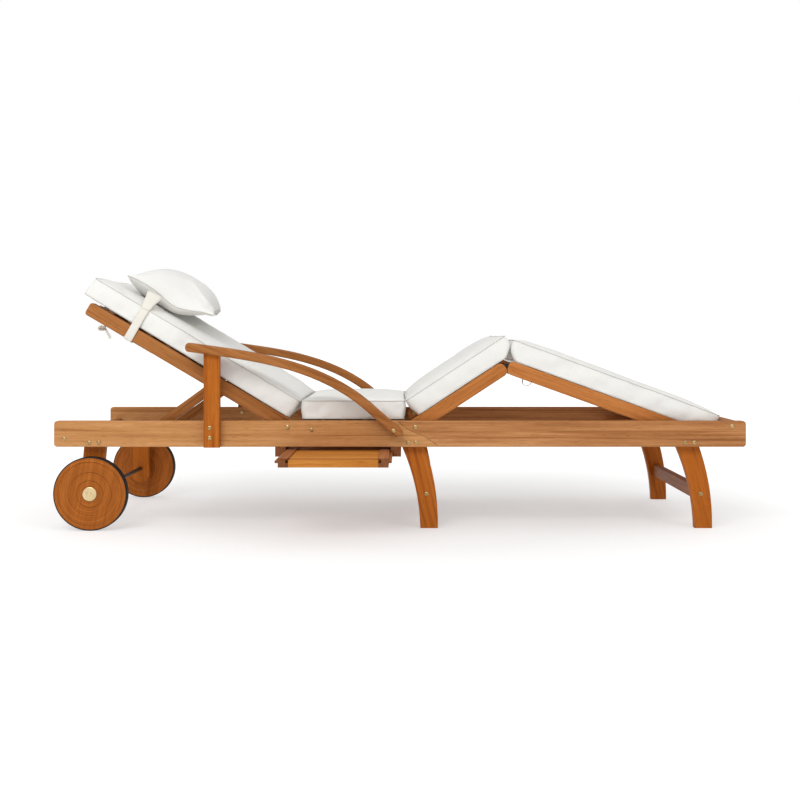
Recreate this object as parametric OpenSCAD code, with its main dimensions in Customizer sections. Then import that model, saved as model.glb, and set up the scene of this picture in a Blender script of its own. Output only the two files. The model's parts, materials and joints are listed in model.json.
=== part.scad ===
// Reclining sun lounger: a slatted hardwood frame on two wheels and four legs,
// with a propped backrest, a folding knee section, a pull-out tray and cushions.
// +X points to the foot end, +Z up, and the origin is on the floor under the
// middle of the frame. The user's right side is -Y.

/* [Frame] */
// Length of the side rails
frame_l = 2000; // [1996:1:2020]
// Width over the two side rails
frame_w = 650; // [640:1:680]
// Height of a side rail board
rail_h = 75; // [70:1:78]
// Height of the rails' top edge above the floor
rail_top = 314; // [310:1:320]
// Thickness of the rails, legs and stiles
board_t = 25; // [24:0.5:25]
// Radius of the sanded long edges
edge_r = 2.5; // [1.5:0.5:3]

/* [Backrest] */
// Place of the backrest pivot along the frame
hip_x = -325; // [-328:1:-322]
// Length of the backrest frame from its pivot
back_l = 650; // [640:1:652]
// Angle of the backrest above level
recline = 30.5; // [10:0.5:55]
// Number of backrest slats
back_slat_n = 9; // [8:1:9]

/* [Knee section] */
// Place of the knee pivot along the frame
knee_x = 44.5; // [43:0.5:46]
// Length from the knee pivot to the apex hinge
thigh_l = 319; // [317:1:320]
// Length from the apex hinge to the foot bar
foot_l = 545; // [540:1:546]
// Angle of the thigh section above level
knee_lift = 33.2; // [30:0.1:33.2]
// Angle of the foot section below level
foot_fall = 19.8; // [18:0.1:19.8]
// Height of the stiles of all three moving sections
stile_h = 40; // [38:1:40]

/* [Legs and arms] */
// Radius of the curve of a leg
leg_curve_r = 648; // [640:1:700]
// Width of a leg at the floor
leg_foot_w = 51; // [46:1:52]
// Place of the middle legs' feet
mid_leg_x = 84.8; // [84:0.2:88]
// Place of the foot legs' feet
foot_leg_x = 884; // [880:1:886]
// Thickness of an arm
arm_t = 26; // [24:1:28]
// Width of an arm
arm_w = 39; // [34:1:42]
// Length of an arm along its curve
arm_l = 661; // [656:1:664]

/* [Wheels and tray] */
// Outer diameter of a wheel with its tyre
wheel_d = 212; // [206:2:214]
// Thickness of a wheel
wheel_t = 28; // [24:1:30]
// Place of the axle along the frame
axle_x = -890.5; // [-894:0.5:-890]
// How far the tray is pulled out past the side rail
tray_out = 227; // [30:1:260]
// Length of the tray
tray_l = 460; // [430:5:470]

/* [Cushions] */
// Width of the cushions
cushion_w = 588; // [560:1:588]
// Thickness of the cushions
cushion_t = 60; // [50:1:62]
// Width of the head pillow
pillow_w = 490; // [420:5:500]

/* [Hidden] */
$fn = 48;

// Colours
rail_c = [0.76, 0.54, 0.35];
wood_c = [0.75, 0.43, 0.17];
dark_wood_c = [0.62, 0.34, 0.14];
slat_c = [0.72, 0.46, 0.24];
fabric_c = [0.93, 0.91, 0.88];
brass_c = [0.80, 0.66, 0.36];
steel_c = [0.62, 0.62, 0.60];
rubber_c = [0.07, 0.07, 0.07];

// Main planes of the frame: y values are for the right side, as distances
rail_out = frame_w / 2;
rail_in = rail_out - board_t;
rail_low = rail_top - rail_h;
leg_in = rail_in - board_t;
stile_gap = 5;
stile_out = rail_in - stile_gap;
stile_in = stile_out - board_t;
half_h = stile_h / 2;
pivot_z = rail_top - 17.5;
leg_top = 262;

// Round parts
bolt_r = 3;
pivot_r = 4;
hole_gap = 0.2;
pin_gap = 0.08;
head_r = 6.5;
head_h = 3;
nut_r = 6;
nut_h = 5;
rail_corner_r = 9;
stile_corner_r = 17;
head_corner_r = 9;
fine = 0.05;

// Slats
slat_t = 12;
slat_pocket = 12.5;
slat_edge_r = 2;
head_rail_u = 642;
head_rail_w = 20;
head_rail_h = 36;

// Scarf joint that splits each rail into a head board and a foot board
scarf_x = -8;
scarf_l = 120;
scarf_wave = 0.065;
scarf_gap = 1.5;

// Bolts through the rails: [x, z]
wheel_leg_bolts = [[-898, 251.5], [-871, 251.5]];
mid_leg_bolts = [[24, 251.5], [47, 251.5]];
foot_leg_bolts = [[825, 251.5], [852, 251.5]];
head_bar_x = -971;
head_bar_z = 262;
foot_rail_x = 960;
foot_rail_z = 299;
seat_beam_x = [-255.5, -18.5];
seat_beam_z = 289;
post_x = -541;
post_w = 46;
post_t = 24;
post_bolt_x = -546;
post_bolt_z = [267, 296];
stretcher_z = 100;

// Prop frame under the backrest
prop_u = 250;
prop_w = -10.5;
prop_l = 256;
prop_slope = 36;
prop_rate = 1.02;
prop_half = 14;
prop_bar_r = 10;
strut_out = stile_in - 2;
strut_t = 22;
prop_notches = [0, 14, 30.5, 45, 60];
rack_top = 251.5;
notch_r = 10;
notch_lift = 4.5;

// Foot section racks, inboard of the legs
foot_bar_r = 9;
foot_rack_out = stile_in - 2;
foot_rack_t = 18;
foot_rack_top = 275.5;
foot_notches = [0, 0.35, 0.7, 1];

// Tray
tray_x = -179;
tray_w = 298;
tray_z = 211;
tray_t = 20;
tray_lip = 5;
tray_rail_w = 28;
tray_tongue = 8.5;
tongue_h = 6;
runner_w = 30;
runner_gap = 3;

// Apex hinge
apex_gap = 9;
leaf_l = 62;
leaf_h = 15;
leaf_t = 2.5;

// Cushions, measured from the middle of the stiles
cushion_low = half_h + 2;
cushion_high = cushion_low + cushion_t;
strap_u = 533;
strap_w = 25;
strap_t = 1.6;
tie_w = 12;
tie_t = 0.8;
tie_gap = 0.3;

// ---------- outlines ----------

// Points of an arc
function arc(cx, cy, r, a0, a1, n) =
    [for (i = [0:n]) let (a = a0 + (a1 - a0) * i / n) [cx + r * cos(a), cy + r * sin(a)]];

// Rectangle with round corners, its lower left corner at the origin
function round_rect(w, h, r, n = 3) = concat(
    arc(w - r, h - r, r, 0, 90, n), arc(r, h - r, r, 90, 180, n),
    arc(r, r, r, 180, 270, n), arc(w - r, r, r, 270, 360, n));

// Outline of a stile: its pivot end is the rounder one unless end_r says otherwise
function stile_outline(l, end_r) = let (h = stile_h, r = stile_corner_r) concat(
    arc(l - end_r, h - end_r, end_r, 0, 90, 8), arc(r, h - r, r, 90, 180, 8),
    arc(r, r, r, 180, 270, 8), arc(l - end_r, end_r, end_r, 270, 360, 8));

// Offset of the scarf line at a share t of its length, from top to bottom
function scarf_z(t) = rail_top - rail_h * (t + scarf_wave * sin(360 * t));
function scarf_line(dx) = [for (i = [0:12]) [scarf_x + dx + scarf_l * i / 12, scarf_z(i / 12)]];

// Place along the frame of the prop's foot bar when the backrest stands at angle a
function prop_angle(a) = prop_slope + prop_rate * (a - recline);
function prop_foot_x(a) = hip_x - prop_u * cos(a) + prop_w * sin(a) - prop_l * cos(prop_angle(a));

// Place along the frame of the foot bar when the knee is at a share k of its lift
function foot_bar_x(k) = knee_x + thigh_l * cos(k * knee_lift) + foot_l * cos(k * foot_fall);

apex_x = knee_x + thigh_l * cos(knee_lift);
apex_z = pivot_z + thigh_l * sin(knee_lift);
prop_hinge_x = hip_x - prop_u * cos(recline) + prop_w * sin(recline);
prop_hinge_z = pivot_z + prop_u * sin(recline) + prop_w * cos(recline);

// ---------- shared shapes ----------

// Builds on the right side, or mirrored on the left
module on_side(right) {
    if (right) children();
    else mirror([0, 1, 0]) children();
}

// Straight bars with sanded edges, from the origin along one axis
module bar_x(l, w, h, r = edge_r) {
    rotate([90, 0, 90]) linear_extrude(l) polygon(round_rect(w, h, r));
}
module bar_y(l, w, h, r = edge_r) {
    translate([0, l, 0]) rotate([90, 0, 0]) linear_extrude(l) polygon(round_rect(w, h, r));
}
module bar_z(l, w, h, r = edge_r) {
    linear_extrude(l) polygon(round_rect(w, h, r));
}

// A side view extruded across the width, from y0 towards +Y
module side_plate(y0, t) {
    translate([0, y0 + t, 0]) rotate([90, 0, 0]) linear_extrude(t) children();
}

// Round hole or rod along Y
module rod_y(x, z, r, y0, y1) {
    translate([x, y0, z]) rotate([-90, 0, 0]) cylinder(h = y1 - y0, r = r);
}

// Ring of a swept board: width w across the path in the XZ plane, t across Y
function sweep_ring(c, n, w, t, r) =
    [for (p = round_rect(w, t, min(r, w / 2 - 0.3), 2))
        [c[0] + (p[0] - w / 2) * n[0], p[1], c[1] + (p[0] - w / 2) * n[1]]];

// Skin over a list of rings
module skin(rings) {
    m = len(rings[0]);
    last = len(rings) - 1;
    sides = [for (i = [0:last - 1]) for (j = [0:m - 1]) let (k = (j + 1) % m) each [
        [i * m + j, (i + 1) * m + j, (i + 1) * m + k],
        [i * m + j, (i + 1) * m + k, i * m + k]]];
    caps = [[for (j = [0:m - 1]) j], [for (j = [m - 1:-1:0]) last * m + j]];
    polyhedron(points = [for (g = rings) each g], faces = concat(sides, caps));
}

// Button-head bolt from y = 0 towards +Y with its head below y = 0, and a nut at the far end
module bolt(l, r = bolt_r, nut = true) {
    dome = concat([[0, 0]], arc(0, 0, head_r, 0, 90, 6));
    difference() {
        rotate([90, 0, 0]) rotate_extrude() polygon(
            [for (p = dome) [p[0], p[1] * head_h / head_r]]);
        translate([0, -head_h - 1, 0]) rotate([-90, 0, 0]) cylinder(h = 2.6, r = 2.3, $fn = 6);
    }
    rod_y(0, 0, r, 0, l);
    if (nut) rod_y(0, 0, nut_r, l - nut_h, l);
}

// ---------- side rails ----------

module rail_section() {
    translate([-frame_l / 2, -rail_out, rail_low]) bar_x(frame_l, board_t, rail_h);
}
module rail_head() {
    end = -frame_l / 2;
    low = rail_low + rail_corner_r;
    high = rail_top - rail_corner_r;
    outline = concat(
        arc(end + rail_corner_r, high, rail_corner_r, 90, 180, 6),
        arc(end + rail_corner_r, low, rail_corner_r, 180, 270, 6),
        [for (i = [12:-1:0]) scarf_line(-scarf_gap / 2)[i]]);
    intersection() {
        rail_section();
        side_plate(-rail_out, board_t) polygon(outline);
    }
}
module rail_foot() {
    end = frame_l / 2;
    low = rail_low + rail_corner_r;
    high = rail_top - rail_corner_r;
    outline = concat(
        scarf_line(scarf_gap / 2),
        arc(end - rail_corner_r, low, rail_corner_r, 270, 360, 6),
        arc(end - rail_corner_r, high, rail_corner_r, 0, 90, 6));
    intersection() {
        rail_section();
        side_plate(-rail_out, board_t) polygon(outline);
    }
}
module rail_holes() {
    at = concat(wheel_leg_bolts, mid_leg_bolts, foot_leg_bolts,
        [[head_bar_x, head_bar_z], [foot_rail_x, foot_rail_z]],
        [for (x = seat_beam_x) [x, seat_beam_z]],
        [for (z = post_bolt_z) [post_bolt_x, z]]);
    for (p = at) rod_y(p[0], p[1], bolt_r + hole_gap, -rail_out - 1, -rail_in + 1);
    for (x = [hip_x, knee_x]) rod_y(x, pivot_z, pivot_r + hole_gap, -rail_out - 1, -rail_in + 1);
}
module side_rail_head(right) {
    color(rail_c) on_side(right) difference() {
        rail_head();
        rail_holes();
    }
}
module side_rail_foot(right) {
    color(rail_c) on_side(right) difference() {
        rail_foot();
        rail_holes();
    }
}

// ---------- cross members ----------

// Cross bar between the rails, centred on x, with a bolt hole in each end
module cross_member(x, z0, w, h, hole_z) {
    difference() {
        translate([x - w / 2, -rail_in, z0]) bar_y(2 * rail_in, w, h);
        for (s = [0, 1]) on_side(s == 1) rod_y(x, hole_z, bolt_r + hole_gap, -rail_in - 1, 42 - rail_in);
    }
}
module head_cross_bar() {
    color(dark_wood_c) cross_member(head_bar_x, 249.5, 25, 25, head_bar_z);
}
module foot_cross_rail() {
    color(rail_c) cross_member(foot_rail_x, rail_top - 50, 35, 50, foot_rail_z);
}
module seat_bearers() {
    beam_w = 35;
    color(dark_wood_c) {
        for (x = seat_beam_x) cross_member(x, leg_top, beam_w, rail_top - slat_t - leg_top, seat_beam_z);
        for (s = [0, 1]) on_side(s == 1) translate([seat_beam_x[0] + beam_w / 2, -rail_in, 282])
            bar_x(seat_beam_x[1] - seat_beam_x[0] - beam_w, 20, rail_top - slat_t - 282);
    }
}
module seat_slats() {
    n = 5;
    w = 50;
    pitch = 62;
    color(slat_c) for (i = [0:n - 1])
        translate([-285 + i * pitch, 2 - rail_in, rail_top - slat_t])
            bar_y(2 * rail_in - 4, w, slat_t, slat_edge_r);
}

// ---------- legs ----------

// Curved leg that stands upright at the floor and leans to the head end at its top
module curved_leg(foot_x, bolts) {
    steps = 9;
    top_a = asin(276 / leg_curve_r);
    rings = [for (i = [0:steps]) let (a = top_a * i / steps, z = leg_curve_r * sin(a))
        sweep_ring([foot_x - leg_curve_r * (1 - cos(a)), z], [cos(a), sin(a)],
            leg_foot_w + 0.048 * z, board_t, edge_r)];
    difference() {
        translate([0, -rail_in, 0]) skin(rings);
        translate([foot_x - 200, -rail_in - 1, leg_top]) cube([300, board_t + 2, 60]);
        for (p = bolts) rod_y(p[0], p[1], bolt_r + hole_gap, -rail_in - 1, 1 - leg_in);
        rod_y(foot_x - 7.8, stretcher_z, bolt_r + hole_gap, -rail_in - 1, 1 - leg_in);
    }
}
module mid_leg(right) {
    color(wood_c) on_side(right) curved_leg(mid_leg_x, mid_leg_bolts);
}
module foot_leg(right) {
    color(wood_c) on_side(right) curved_leg(foot_leg_x, foot_leg_bolts);
}
module wheel_leg(right) {
    end_r = 30;
    low_z = wheel_d / 2 - 18;
    top_x = -886;
    bow = -6;
    round_rings = [for (i = [1:5]) let (a = 90 * i / 6)
        sweep_ring([axle_x, low_z - end_r * cos(a)], [1, 0], 2 * end_r * sin(a), board_t, edge_r)];
    shank_rings = [for (i = [0:5]) let (t = i / 5)
        sweep_ring([axle_x + (top_x - axle_x) * t + bow * sin(180 * t), low_z + (leg_top - low_z) * t],
            [1, 0], 2 * end_r + 4 * t, board_t, edge_r)];
    color(wood_c) on_side(right) difference() {
        translate([0, -rail_in, 0]) skin(concat(round_rings, shank_rings));
        for (p = wheel_leg_bolts) rod_y(p[0], p[1], bolt_r + hole_gap, -rail_in - 1, 1 - leg_in);
        rod_y(axle_x, wheel_d / 2, 6 + hole_gap, -rail_in - 1, 1 - leg_in);
    }
}
module stretcher(foot_x) {
    w = 22;
    h = 40;
    x = foot_x - 7.8;
    color(wood_c) difference() {
        translate([x - w / 2, -leg_in, stretcher_z - h / 2]) bar_y(2 * leg_in, w, h);
        for (s = [0, 1]) on_side(s == 1)
            rod_y(x, stretcher_z, bolt_r + hole_gap, -leg_in - 1, 40 - leg_in);
    }
}
module mid_stretcher() {
    stretcher(mid_leg_x);
}
module foot_stretcher() {
    stretcher(foot_leg_x);
}

// ---------- arms ----------

arm_start = [-604.1, 527.3];
arm_steps = 22;

// Downward slope of the arm at a share t of its length
function arm_slope(t) = 8 + 33 * pow(max(0, min(1, (t * arm_l - 68) / 480)), 1.8);
function arm_point(i) = i == 0 ? arm_start :
    let (a = arm_slope((i - 0.5) / arm_steps), p = arm_point(i - 1), d = arm_l / arm_steps)
    [p[0] + d * cos(a), p[1] - d * sin(a)];
function arm_ring(c, t, h) = sweep_ring(c, [sin(arm_slope(t)), cos(arm_slope(t))], h, arm_w, 5);
function arm_end(c, t, r, s) = [for (i = [1:4]) let (a = 90 * i / 5, q = s > 0 ? 90 - a : a)
    arm_ring([c[0] + s * r * cos(q) * cos(arm_slope(t)), c[1] - s * r * cos(q) * sin(arm_slope(t))],
        t, arm_t - 2 * r * (1 - sin(q)))];
post_top = 510.5;
module arm(right) {
    nose_r = 10;
    rings = concat(
        arm_end(arm_point(0), 0, nose_r, -1),
        [for (i = [0:arm_steps]) arm_ring(arm_point(i), i / arm_steps, arm_t)],
        arm_end(arm_point(arm_steps), 1, nose_r, 1));
    color(wood_c) on_side(right) difference() {
        translate([0, -rail_out - arm_w, 0]) skin(rings);
        translate([post_x - post_w / 2, -rail_out - post_t, post_top - 30])
            cube([post_w, post_t + 1, 30]);
        rod_y(seat_beam_x[1], seat_beam_z, bolt_r + hole_gap, -rail_out - arm_w - 1, 1 - rail_out);
    }
}
module arm_post(right) {
    color(wood_c) on_side(right) difference() {
        translate([post_x - post_w / 2, -rail_out - post_t, rail_low])
            bar_z(post_top - rail_low, post_w, post_t);
        for (z = post_bolt_z)
            rod_y(post_bolt_x, z, bolt_r + hole_gap, -rail_out - post_t - 1, 1 - rail_out);
    }
}

// ---------- racks ----------

module prop_racks() {
    x0 = prop_foot_x(0) - 22;
    x1 = prop_foot_x(60) + 26;
    color(dark_wood_c) for (s = [0, 1]) on_side(s == 1) difference() {
        translate([x0, -rail_in, rail_low]) cube([x1 - x0, 24, rack_top - rail_low]);
        for (a = prop_notches)
            rod_y(prop_foot_x(a), rack_top + notch_lift, notch_r, -rail_in - 1, 25 - rail_in);
    }
}
module foot_racks() {
    x0 = 700;
    x1 = foot_rail_x - 17.5;
    low = rail_low + 1;
    color(dark_wood_c) for (s = [0, 1]) on_side(s == 1) difference() {
        union() {
            translate([x0, -foot_rack_out, low])
                cube([x1 - x0, foot_rack_t, foot_rack_top - low]);
            translate([x0 + 90, -leg_in, low]) cube([80, leg_in - foot_rack_out + 1, leg_top - 1 - low]);
        }
        for (k = foot_notches)
            rod_y(foot_bar_x(k), foot_rack_top + notch_lift, notch_r,
                -leg_in - 1, 1 - foot_rack_out + foot_rack_t);
        for (p = foot_leg_bolts)
            rod_y(p[0], p[1], bolt_r + hole_gap, -leg_in - 1, 1 - foot_rack_out + foot_rack_t);
    }
}

// ---------- fasteners ----------

module leg_bolts() {
    plain_l = 2 * board_t + nut_h;
    rack_l = rail_out - foot_rack_out + foot_rack_t + nut_h;
    stretch_l = board_t + 38;
    color(brass_c) for (s = [0, 1]) on_side(s == 1) {
        for (p = concat(wheel_leg_bolts, mid_leg_bolts)) translate([p[0], -rail_out, p[1]]) bolt(plain_l);
        for (p = foot_leg_bolts) translate([p[0], -rail_out, p[1]]) bolt(rack_l);
        for (x = [mid_leg_x, foot_leg_x])
            translate([x - 7.8, -rail_in, stretcher_z]) bolt(stretch_l, nut = false);
    }
}
module frame_bolts() {
    beam_l = board_t + 40;
    post_l = post_t + board_t + nut_h;
    color(brass_c) for (s = [0, 1]) on_side(s == 1) {
        translate([head_bar_x, -rail_out, head_bar_z]) bolt(beam_l, nut = false);
        translate([foot_rail_x, -rail_out, foot_rail_z]) bolt(beam_l, nut = false);
        translate([seat_beam_x[0], -rail_out, seat_beam_z]) bolt(beam_l, nut = false);
        translate([seat_beam_x[1], -rail_out - arm_w, seat_beam_z]) bolt(beam_l + arm_w, nut = false);
        for (z = post_bolt_z) translate([post_bolt_x, -rail_out - post_t, z]) bolt(post_l);
    }
}
module pivot_bolts() {
    l = rail_out - stile_in + 1.5 + nut_h;
    color(brass_c) for (s = [0, 1]) on_side(s == 1)
        for (x = [hip_x, knee_x]) translate([x, -rail_out, pivot_z]) bolt(l, pivot_r);
}

// ---------- moving sections ----------

// Frames of the three sections: +X runs along the section from its pivot, +Z out of its face
module in_backrest() {
    translate([hip_x, 0, pivot_z]) rotate([0, recline, 0]) rotate([0, 0, 180]) children();
}
module in_thigh() {
    translate([knee_x, 0, pivot_z]) rotate([0, -knee_lift, 0]) children();
}
module in_foot() {
    translate([apex_x, 0, apex_z]) rotate([0, foot_fall, 0]) children();
}

// Stile from u0 to u1 along the section, outer face on the side of -Y
module stile(u0, u1, end_r = stile_corner_r) {
    intersection() {
        translate([u0, -stile_out, -half_h]) bar_x(u1 - u0, board_t, stile_h);
        side_plate(-stile_out, board_t) translate([u0, -half_h])
            polygon(stile_outline(u1 - u0, end_r));
    }
}
module stile_pocket(u, w) {
    translate([u - 0.2, -stile_in - slat_pocket - 0.2, half_h - slat_t])
        cube([w + 0.4, slat_pocket + 2, slat_t + 1]);
}
module slat(u, w) {
    y = stile_in + slat_pocket;
    translate([u, -y, half_h - slat_t]) bar_y(2 * y, w, slat_t, slat_edge_r);
}

back_slat_w = 53;
back_slat_u = [for (i = [0:back_slat_n - 1]) 45 + i * (573 - back_slat_w) / (back_slat_n - 1)];
thigh_slat_w = 55;
thigh_slat_u = [for (i = [0:3]) 30 + i * 66];
foot_slat_w = 52;
foot_slat_u = [for (i = [0:6]) 66 + i * 69];

module backrest_stile(right) {
    color(wood_c) on_side(right) in_backrest() mirror([0, 1, 0]) difference() {
        stile(-half_h, back_l + 1.5 * half_h, head_corner_r);
        for (u = back_slat_u) stile_pocket(u, back_slat_w);
        rod_y(0, 0, pivot_r + pin_gap, -stile_out - 1, 1 - stile_in);
        rod_y(prop_u, prop_w, pivot_r + fine, -stile_out - 1, 1 - stile_in);
    }
}
module backrest_slats() {
    color(slat_c) in_backrest() for (u = back_slat_u) slat(u, back_slat_w);
}
module backrest_head_rail() {
    color(wood_c) in_backrest() translate([head_rail_u, -stile_in, -head_rail_h / 2])
        bar_y(2 * stile_in, head_rail_w, head_rail_h);
}
module prop_pins() {
    head_t = 3;
    y = strut_out - strut_t - 1.5;
    color(brass_c) for (s = [0, 1]) on_side(s == 1) {
        rod_y(prop_hinge_x, prop_hinge_z, pivot_r, -stile_out + 0.5, -y);
        rod_y(prop_hinge_x, prop_hinge_z, 7, -y, -y + head_t);
    }
}

module prop_strut(right) {
    color(wood_c) on_side(right) translate([prop_hinge_x, 0, prop_hinge_z]) rotate([0, -prop_slope, 0])
        rotate([0, 0, 180]) mirror([0, 1, 0]) difference() {
            intersection() {
                translate([-prop_half, -strut_out, -prop_half])
                    bar_x(prop_l + 2 * prop_half, strut_t, 2 * prop_half);
                side_plate(-strut_out, strut_t) translate([-prop_half, -prop_half])
                    polygon(round_rect(prop_l + 2 * prop_half, 2 * prop_half, prop_half - 0.5, 8));
            }
            rod_y(0, 0, pivot_r + pin_gap, -strut_out - 1, 1 - strut_out + strut_t);
            rod_y(prop_l, 0, prop_bar_r + fine, -strut_out - 1, 1 - strut_out + strut_t);
        }
}
module prop_foot_bar() {
    x = prop_foot_x(recline);
    z = prop_hinge_z - prop_l * sin(prop_slope);
    y = rail_in - 8;
    color(slat_c) rod_y(x, z, prop_bar_r, -y, y);
}

module thigh_stile(right) {
    color(wood_c) on_side(right) in_thigh() difference() {
        stile(-half_h, thigh_l - apex_gap / 2);
        for (u = thigh_slat_u) stile_pocket(u, thigh_slat_w);
        rod_y(0, 0, pivot_r + pin_gap, -stile_out - 1, 1 - stile_in);
    }
}
module thigh_slats() {
    color(slat_c) in_thigh() for (u = thigh_slat_u) slat(u, thigh_slat_w);
}
module thigh_hinge_leaves() {
    color(steel_c) for (s = [0, 1]) on_side(s == 1) in_thigh() difference() {
        translate([thigh_l - leaf_l, -stile_in, -leaf_h / 2])
            side_plate(0, leaf_t) polygon(round_rect(leaf_l + leaf_h / 2, leaf_h, leaf_h / 2 - 0.5, 8));
        rod_y(thigh_l, 0, bolt_r + pin_gap, -stile_in - 1, -stile_in + leaf_t + 1);
    }
}

module foot_stile(right) {
    color(wood_c) on_side(right) in_foot() difference() {
        stile(apex_gap / 2, foot_l + half_h);
        for (u = foot_slat_u) stile_pocket(u, foot_slat_w);
        rod_y(foot_l, 0, foot_bar_r + fine, -stile_out - 1, 1 - stile_in);
    }
}
module foot_slats() {
    color(slat_c) in_foot() for (u = foot_slat_u) slat(u, foot_slat_w);
}
module foot_end_bar() {
    color(slat_c) in_foot() rod_y(foot_l, 0, foot_bar_r, -stile_out + 0.5, stile_out - 0.5);
}
module foot_hinge_leaves() {
    y = -stile_in + leaf_t + 0.3;
    pad_u = 24;
    color(steel_c) for (s = [0, 1]) on_side(s == 1) in_foot() {
        translate([-leaf_h / 2, y, -leaf_h / 2])
            side_plate(0, leaf_t) polygon(round_rect(leaf_l + leaf_h / 2, leaf_h, leaf_h / 2 - 0.5, 8));
        translate([pad_u, -stile_in, -leaf_h / 2]) cube([26, leaf_t + 0.4, leaf_h]);
        rod_y(0, 0, bolt_r, -stile_in + 0.3, y + leaf_t + 2);
    }
}

// ---------- soft parts ----------

// Cushion with the side view given along the section
module cushion(outline) {
    color(fabric_c) side_plate(-cushion_w / 2, cushion_w) polygon(outline);
}
module seat_cushion() {
    cushion([[-275, rail_top + 1.5], [11, rail_top + 1.5],
        [11, rail_top + cushion_t + 1.5], [-275, rail_top + cushion_t + 1.5]]);
}
module backrest_cushion() {
    u1 = back_l + 40;
    in_backrest() cushion([[8, cushion_low], [u1, cushion_low], [u1, cushion_high], [47, cushion_high]]);
}
module thigh_cushion() {
    u1 = thigh_l - 2;
    in_thigh() cushion([[5, cushion_low], [u1, cushion_low], [u1, cushion_high], [17, cushion_high]]);
}
module foot_cushion() {
    u1 = foot_l + 85;
    // the underside rises at the end, to pass over the foot cross rail as the section is lowered
    in_foot() cushion([[1, cushion_low], [foot_l + 28, cushion_low], [foot_l + 51, cushion_low + 12],
        [u1, cushion_low + 36], [u1, cushion_high], [1, cushion_high]]);
}
module head_pillow() {
    u0 = 416;
    l = 224;
    low = cushion_high + 6.5;
    h = 122;
    crown = h / 2;
    lens_u = [for (i = [0:12]) let (t = i / 12) [u0 + l * t, low + crown - crown * pow(sin(180 * t), 0.6)]];
    lens_top = [for (i = [12:-1:0]) let (t = i / 12)
        [u0 + l * t, low + crown + crown * pow(sin(180 * t), 0.6)]];
    w = pillow_w;
    lens_y = [for (i = [0:12]) let (t = i / 12)
        [w * (t - 0.5), low + crown - crown * pow(sin(180 * t), 0.5)]];
    lens_y_top = [for (i = [12:-1:0]) let (t = i / 12)
        [w * (t - 0.5), low + crown + crown * pow(sin(180 * t), 0.5)]];
    color(fabric_c) in_backrest() intersection() {
        side_plate(-w / 2, w) polygon(concat(lens_u, lens_top));
        translate([u0, 0, 0]) rotate([90, 0, 90]) linear_extrude(l) polygon(concat(lens_y, lens_y_top));
    }
}

// Flat band around a rectangle in the YZ plane
module band(u, w, y0, y1, z0, z1, t) {
    translate([u - w / 2, 0, 0]) difference() {
        translate([0, y0 - t, z0 - t]) cube([w, y1 - y0 + 2 * t, z1 - z0 + 2 * t]);
        translate([-1, y0, z0]) cube([w + 2, y1 - y0, z1 - z0]);
    }
}
module pillow_strap() {
    y = stile_out + 0.3;
    color(fabric_c) in_backrest() band(strap_u, strap_w, -y, y, -half_h - 0.3, cushion_high + 0.3, strap_t);
}
// Tie round a slat or rail of a section, between u0 and u1 and between heights w0 and w1
module tie_band(u0, u1, w0, w1) {
    out = tie_gap + tie_t;
    translate([0, -stile_in + tie_w, 0]) difference() {
        translate([u0 - out, 0, w0 - out]) cube([u1 - u0 + 2 * out, tie_w, w1 - w0 + 2 * out]);
        translate([u0 - tie_gap, -1, w0 - tie_gap])
            cube([u1 - u0 + 2 * tie_gap, tie_w + 2, w1 - w0 + 2 * tie_gap]);
    }
}
module backrest_ties() {
    color(fabric_c) for (s = [0, 1]) on_side(s == 1) in_backrest() mirror([0, 1, 0])
        tie_band(head_rail_u, head_rail_u + head_rail_w, -head_rail_h / 2, head_rail_h / 2);
}
module foot_ties() {
    u = foot_slat_u[1];
    color(fabric_c) for (s = [0, 1]) on_side(s == 1) in_foot()
        tie_band(u, u + foot_slat_w, half_h - slat_t, half_h);
}

// ---------- tray ----------

tray_y = -rail_out - tray_out;

// Side rail of the tray: a tongue outside and a groove for the slats inside
module tray_side_rails() {
    z = tray_z;
    groove_z = 7;
    x0 = tray_x - tray_w / 2;
    profile = [
        [x0, z - tray_lip], [x0 + tray_rail_w, z - tray_lip], [x0 + tray_rail_w, z + groove_z],
        [x0 + tray_rail_w - 8, z + groove_z], [x0 + tray_rail_w - 8, z + groove_z + 10],
        [x0 + tray_rail_w, z + groove_z + 10], [x0 + tray_rail_w, z + tray_t], [x0, z + tray_t],
        [x0, z + 7 + tongue_h], [x0 - tray_tongue, z + 7 + tongue_h],
        [x0 - tray_tongue, z + 7], [x0, z + 7]];
    color(wood_c) for (s = [0, 1]) translate([s * tray_x * 2, 0, 0]) mirror([s, 0, 0])
        side_plate(tray_y, tray_l) polygon(profile);
}
module tray_slats() {
    n = 7;
    w = 52;
    board_w = 20;
    pitch = (tray_l - board_w - 14 - w) / (n - 1);
    between = tray_w - 2 * tray_rail_w;
    inner = between + 15;
    color(slat_c) for (i = [0:n - 1])
        translate([tray_x - inner / 2, tray_y + board_w + 7 + i * pitch, tray_z + 7.2])
            bar_x(inner, w, 9.6, 1.5);
    color(slat_c) translate([tray_x - between / 2, tray_y, tray_z - tray_lip])
        bar_x(between, board_w, tray_t, 1.5);
}
module tray_runners() {
    z = tray_z;
    x1 = tray_x - tray_w / 2 - runner_gap;
    x0 = x1 - runner_w;
    profile = [
        [x0, z], [x1, z], [x1, z + 6.4], [x1 - 7, z + 6.4], [x1 - 7, z + 13.6], [x1, z + 13.6],
        [x1, rail_low], [x0, rail_low]];
    color(dark_wood_c) for (s = [0, 1]) translate([s * tray_x * 2, 0, 0]) mirror([s, 0, 0])
        side_plate(-rail_out, 2 * rail_out) polygon(profile);
}

// ---------- wheels ----------

wheel_y0 = -rail_out - 23;
tyre_t = 3;
groove_r = [38, 62, 92];

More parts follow.
